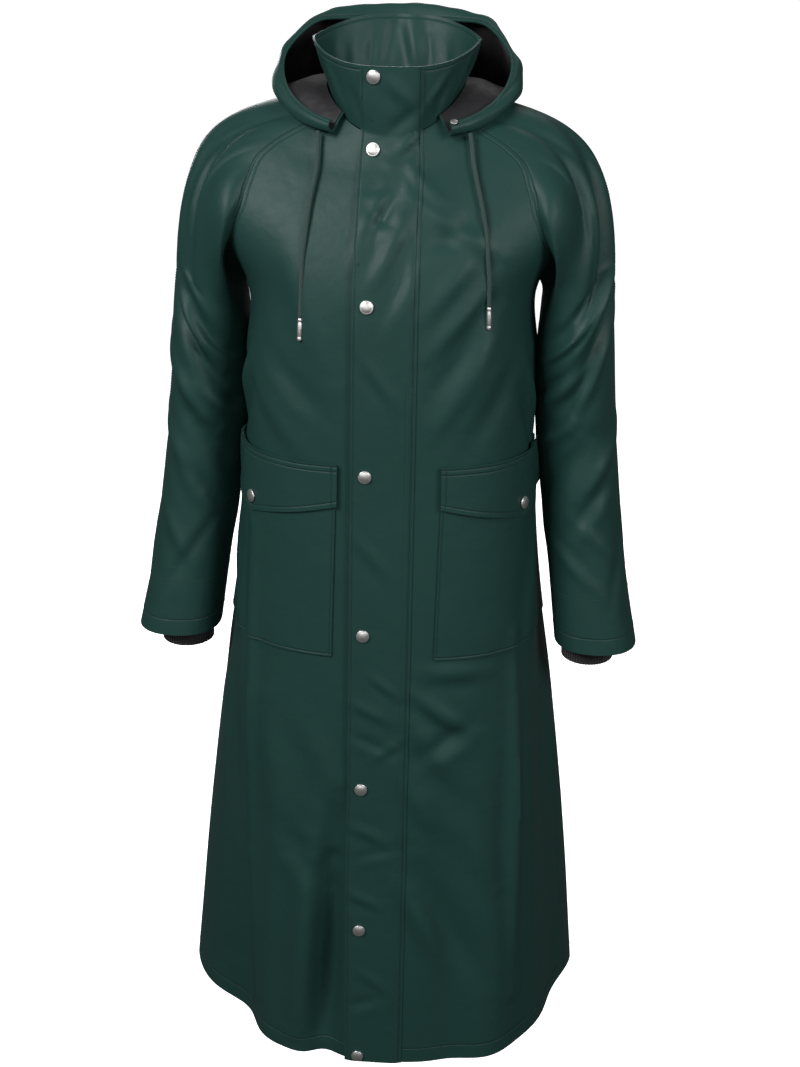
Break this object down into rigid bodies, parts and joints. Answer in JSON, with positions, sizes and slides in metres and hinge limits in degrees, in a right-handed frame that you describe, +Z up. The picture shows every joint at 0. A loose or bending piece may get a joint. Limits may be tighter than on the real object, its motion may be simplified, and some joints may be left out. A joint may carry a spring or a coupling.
{
  "type": "raincoat",
  "caption": "Long hooded raincoat in dark green coated cloth, snapped up and filled out as worn, hood down, with a storm placket, flap pockets, raglan sleeves, rib storm cuffs and draw cords.",
  "frame": {"origin": "the middle of the neck opening, at the height where a wearer's neck and shoulders would hold the coat up", "axes": "+X is the wearer's left, which is the right in the picture, +Y is the back of the coat, +Z is up"},
  "size_m": [0.608, 0.3604, 1.2612],
  "materials": {
    "coat_cloth": "satin",
    "hood_lining": "matte",
    "rib_knit": "matte",
    "snap_metal": "brushed",
    "cord_yarn": "matte"
  },
  "bodies": {
    "root": {"front_left": "coat_cloth", "front_right": "coat_cloth", "back": "coat_cloth", "sleeve_front_left": "coat_cloth", "sleeve_back_left": "coat_cloth", "sleeve_front_right": "coat_cloth", "sleeve_back_right": "coat_cloth", "cuff_left": "rib_knit", "cuff_right": "rib_knit", "collar": "coat_cloth", "placket": "coat_cloth", "snap_1": "snap_metal", "snap_2": "snap_metal", "snap_3": "snap_metal", "snap_4": "snap_metal", "snap_5": "snap_metal", "snap_6": "snap_metal", "snap_7": "snap_metal", "snap_8": "snap_metal", "pocket_left": "coat_cloth", "pocket_right": "coat_cloth", "flap_left": "coat_cloth", "flap_right": "coat_cloth", "pocket_snap_left": "snap_metal", "pocket_snap_right": "snap_metal", "hood_half_left": "coat_cloth", "hood_half_right": "coat_cloth", "hood_lining": "hood_lining", "cord_left": "cord_yarn", "cord_right": "cord_yarn", "cord_tip_left": "snap_metal", "cord_tip_right": "snap_metal"}
  },
  "joints": []
}
